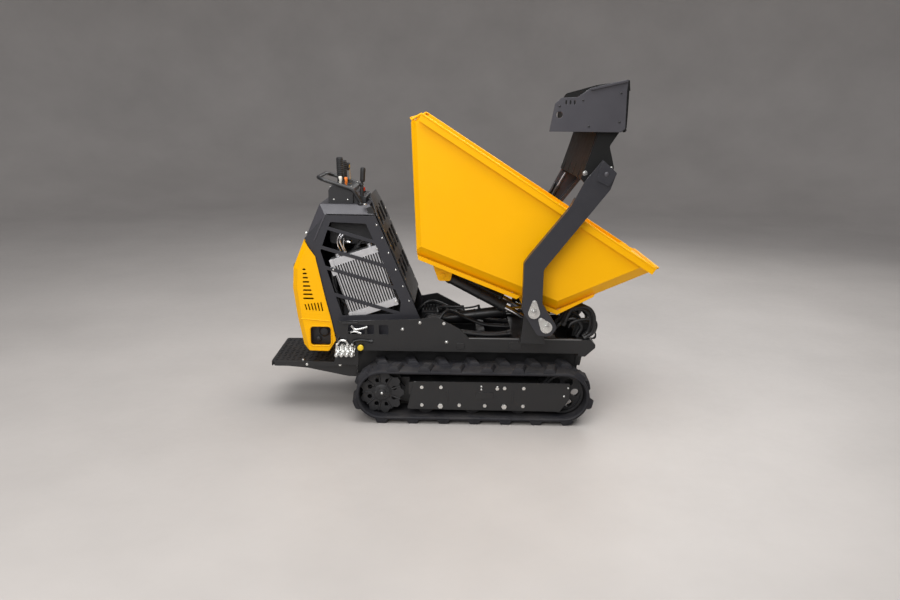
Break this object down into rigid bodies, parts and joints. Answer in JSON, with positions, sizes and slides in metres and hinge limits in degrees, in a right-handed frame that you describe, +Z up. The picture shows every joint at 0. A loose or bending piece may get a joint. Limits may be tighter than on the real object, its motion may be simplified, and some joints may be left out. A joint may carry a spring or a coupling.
{
  "type": "power wheelbarrow",
  "caption": "Ride-behind tracked power wheelbarrow with a hydraulic tipping skip, a self-loading shovel on lift arms, and a control tower with a rear step.",
  "frame": {"origin": "on the ground, under the middle of the whole machine's length and width", "axes": "+X forward, the end the skip tips over; +Y to the machine's left; +Z up"},
  "size_m": [1.825, 0.792, 1.5759],
  "materials": {
    "yellow_paint": "satin powder coat, chipped at the edges",
    "black_paint": "semi-gloss powder coat, dusty",
    "panel_paint": "dark grey powder coat",
    "cap_paint": "mid-grey powder coat",
    "track_rubber": "matt, dusty",
    "zinc": "zinc plated",
    "chrome_rod": "polished, oily",
    "cooler_metal": "bare, fine fins",
    "cast_metal": "dark, machined faces",
    "engine_metal": "cast, matt",
    "tank_metal": "black paint",
    "black_plastic": "fine grain",
    "red_plastic": "glossy",
    "hose_rubber": "satin",
    "yellow_moulding": "satin"
  },
  "bodies": {
    "machine": {"battery": "black_plastic", "chassis_frame": "black_paint", "console": "black_plastic", "engine": "engine_metal", "frame_bolts": "zinc", "front_hoses": "hose_rubber", "fuel_tank": "black_plastic", "handlebar": "black_paint", "hose_fittings": "zinc", "hydraulic_pump": "engine_metal", "hydraulic_tank": "tank_metal", "left_side_plate": "black_paint", "left_tower_panel": "panel_paint", "left_track_belt": "track_rubber", "left_track_frame": "black_paint", "oil_cooler": "cooler_metal", "rear_step": "black_paint", "right_side_plate": "black_paint", "right_tower_panel": "panel_paint", "right_track_belt": "track_rubber", "right_track_frame": "black_paint", "side_plate_bolts": "zinc", "tower_front_plate": "black_paint", "tower_top_cover": "cap_paint", "valve_block": "cast_metal"},
    "skip": {"skip_tub": "yellow_paint", "skip_underframe": "yellow_paint"},
    "dump_barrels": {"dump_cylinder_barrels": "black_paint"},
    "dump_rods": {"dump_cylinder_rods": "chrome_rod"},
    "arms": {"right_loader_arm": "black_paint", "left_loader_arm": "black_paint", "arm_shaft": "black_paint", "arm_pins": "zinc"},
    "lift_rod": {"lift_cylinder_rod": "chrome_rod"},
    "lift_barrel": {"lift_cylinder_barrel": "black_paint"},
    "scoop": {"shovel": "black_paint", "shovel_guard": "black_paint"},
    "tilt_rods": {"tilt_cylinder_rods": "chrome_rod"},
    "tilt_barrels": {"tilt_cylinder_barrels": "black_paint"},
    "cover": {"rear_cover": "yellow_moulding"},
    "fan": {"cooling_fan": "black_plastic"},
    "fuel_lid": {"fuel_cap": "black_plastic"},
    "stop": {"stop_button": "red_plastic"},
    "key": {"ignition_key": "black_plastic"},
    "right_drive": {"right_sprocket": "cast_metal"},
    "right_tension": {"right_idler": "cast_metal"},
    "right_rear_wheel": {"right_roller_rear": "cast_metal"},
    "right_middle_wheel": {"right_roller_middle": "cast_metal"},
    "right_front_wheel": {"right_roller_front": "cast_metal"},
    "right_drive_stick": {"right_drive_lever": "black_plastic"},
    "left_drive": {"left_sprocket": "cast_metal"},
    "left_tension": {"left_idler": "cast_metal"},
    "left_rear_wheel": {"left_roller_rear": "cast_metal"},
    "left_middle_wheel": {"left_roller_middle": "cast_metal"},
    "left_front_wheel": {"left_roller_front": "cast_metal"},
    "left_drive_stick": {"left_drive_lever": "black_plastic"},
    "arm_stick": {"arm_lever": "black_plastic"},
    "shovel_stick": {"shovel_lever": "black_plastic"},
    "skip_stick": {"skip_lever": "black_plastic"},
    "throttle_stick": {"throttle_lever": "black_plastic"}
  },
  "joints": [
    {"name": "skip_tip", "type": "hinge", "parent": "machine", "child": "skip", "pos_m": [0.333, 0, 0.552], "axis": [0, 1, 0], "range_deg": [-15, 22]},
    {"name": "dump_barrel_swing", "type": "hinge", "parent": "skip", "child": "dump_barrels", "pos_m": [-0.085, 0, 0.666], "axis": [0, 1, 0], "range_deg": [-4.95, 3.4]},
    {"name": "dump_rod_slide", "type": "slide", "parent": "dump_barrels", "child": "dump_rods", "axis": [0.8869, 0, -0.4619], "range_m": [-0.0228, 0.0332]},
    {"name": "arm_lift", "type": "hinge", "parent": "machine", "child": "arms", "pos_m": [0.333, 0, 0.552], "axis": [0, 1, 0], "range_deg": [0, 100]},
    {"name": "lift_rod_swing", "type": "hinge", "parent": "arms", "child": "lift_rod", "pos_m": [0.391, 0, 0.485], "axis": [0, 1, 0], "range_deg": [-102.5, 0]},
    {"name": "lift_barrel_slide", "type": "slide", "parent": "lift_rod", "child": "lift_barrel", "axis": [-0.99, 0, -0.1409], "range_m": [-0.1336, 0]},
    {"name": "shovel_tilt", "type": "hinge", "parent": "arms", "child": "scoop", "pos_m": [0.623, 0, 1.178], "axis": [0, 1, 0], "range_deg": [-35, 5]},
    {"name": "tilt_rod_swing", "type": "hinge", "parent": "scoop", "child": "tilt_rods", "pos_m": [0.562, 0, 1.15], "axis": [0, 1, 0], "range_deg": [-6, 41.5]},
    {"name": "tilt_barrel_slide", "type": "slide", "parent": "tilt_rods", "child": "tilt_barrels", "axis": [-0.4751, 0, -0.8799], "range_m": [-0.0144, 0.0022]},
    {"name": "right_sprocket_spin", "type": "hinge", "parent": "machine", "child": "right_drive", "pos_m": [-0.362, -0.28, 0.139], "axis": [0, 1, 0], "continuous": true},
    {"name": "right_idler_spin", "type": "hinge", "parent": "machine", "child": "right_tension", "pos_m": [0.492, -0.28, 0.139], "axis": [0, 1, 0], "continuous": true},
    {"name": "right_rear_roller_spin", "type": "hinge", "parent": "machine", "child": "right_rear_wheel", "pos_m": [-0.155, -0.28, 0.081], "axis": [0, 1, 0], "continuous": true},
    {"name": "right_middle_roller_spin", "type": "hinge", "parent": "machine", "child": "right_middle_wheel", "pos_m": [0.065, -0.28, 0.081], "axis": [0, 1, 0], "continuous": true},
    {"name": "right_front_roller_spin", "type": "hinge", "parent": "machine", "child": "right_front_wheel", "pos_m": [0.285, -0.28, 0.081], "axis": [0, 1, 0], "continuous": true},
    {"name": "left_sprocket_spin", "type": "hinge", "parent": "machine", "child": "left_drive", "pos_m": [-0.362, 0.28, 0.139], "axis": [0, 1, 0], "continuous": true},
    {"name": "left_idler_spin", "type": "hinge", "parent": "machine", "child": "left_tension", "pos_m": [0.492, 0.28, 0.139], "axis": [0, 1, 0], "continuous": true},
    {"name": "left_rear_roller_spin", "type": "hinge", "parent": "machine", "child": "left_rear_wheel", "pos_m": [-0.155, 0.28, 0.081], "axis": [0, 1, 0], "continuous": true},
    {"name": "left_middle_roller_spin", "type": "hinge", "parent": "machine", "child": "left_middle_wheel", "pos_m": [0.065, 0.28, 0.081], "axis": [0, 1, 0], "continuous": true},
    {"name": "left_front_roller_spin", "type": "hinge", "parent": "machine", "child": "left_front_wheel", "pos_m": [0.285, 0.28, 0.081], "axis": [0, 1, 0], "continuous": true},
    {"name": "fan_spin", "type": "hinge", "parent": "machine", "child": "fan", "pos_m": [-0.455, -0.121, 0.64], "axis": [0, 1, 0], "continuous": true},
    {"name": "cover_open", "type": "hinge", "parent": "machine", "child": "cover", "pos_m": [-0.735, 0, 0.318], "axis": [0, 1, 0], "range_deg": [-40, 0]},
    {"name": "fuel_cap_turn", "type": "hinge", "parent": "machine", "child": "fuel_lid", "pos_m": [-0.535, 0, 0.94], "axis": [0, 0, 1], "range_deg": [-90, 90]},
    {"name": "right_drive_lever_swing", "type": "hinge", "parent": "machine", "child": "right_drive_stick", "pos_m": [-0.575, -0.068, 1.084], "axis": [0, 1, 0], "range_deg": [-18, 18]},
    {"name": "left_drive_lever_swing", "type": "hinge", "parent": "machine", "child": "left_drive_stick", "pos_m": [-0.575, 0.068, 1.084], "axis": [0, 1, 0], "range_deg": [-18, 18]},
    {"name": "arm_lever_swing", "type": "hinge", "parent": "machine", "child": "arm_stick", "pos_m": [-0.575, -0.112, 1.084], "axis": [0, 1, 0], "range_deg": [-12, 12]},
    {"name": "shovel_lever_swing", "type": "hinge", "parent": "machine", "child": "shovel_stick", "pos_m": [-0.549, -0.112, 1.084], "axis": [0, 1, 0], "range_deg": [-12, 12]},
    {"name": "skip_lever_swing", "type": "hinge", "parent": "machine", "child": "skip_stick", "pos_m": [-0.47, -0.11, 1.084], "axis": [0, 1, 0], "range_deg": [-15, 15]},
    {"name": "throttle_lever_swing", "type": "hinge", "parent": "machine", "child": "throttle_stick", "pos_m": [-0.538, 0, 1.084], "axis": [0, 1, 0], "range_deg": [-10, 15]},
    {"name": "stop_button_press", "type": "slide", "parent": "machine", "child": "stop", "axis": [0, 0, -1], "range_m": [0, 0.004]},
    {"name": "ignition_key_turn", "type": "hinge", "parent": "machine", "child": "key", "pos_m": [-0.6, 0.02, 1.096], "axis": [0, 0, 1], "range_deg": [0, 90]}
  ],
  "couplings": [
    {"joint": "dump_barrel_swing", "follows": "skip_tip", "ratio": -0.2221},
    {"joint": "dump_rod_slide", "follows": "skip_tip", "m_per_rad": 0.0857},
    {"joint": "lift_rod_swing", "follows": "arm_lift", "ratio": -1.0248},
    {"joint": "lift_barrel_slide", "follows": "arm_lift", "m_per_rad": -0.07653},
    {"joint": "tilt_rod_swing", "follows": "shovel_tilt", "ratio": -1.1807},
    {"joint": "tilt_barrel_slide", "follows": "shovel_tilt", "m_per_rad": 0.02322},
    {"joint": "right_idler_spin", "follows": "right_sprocket_spin", "ratio": 1},
    {"joint": "right_rear_roller_spin", "follows": "right_sprocket_spin", "ratio": 2.2826},
    {"joint": "right_middle_roller_spin", "follows": "right_sprocket_spin", "ratio": 2.2826},
    {"joint": "right_front_roller_spin", "follows": "right_sprocket_spin", "ratio": 2.2826},
    {"joint": "left_idler_spin", "follows": "left_sprocket_spin", "ratio": 1},
    {"joint": "left_rear_roller_spin", "follows": "left_sprocket_spin", "ratio": 2.2826},
    {"joint": "left_middle_roller_spin", "follows": "left_sprocket_spin", "ratio": 2.2826},
    {"joint": "left_front_roller_spin", "follows": "left_sprocket_spin", "ratio": 2.2826}
  ]
}
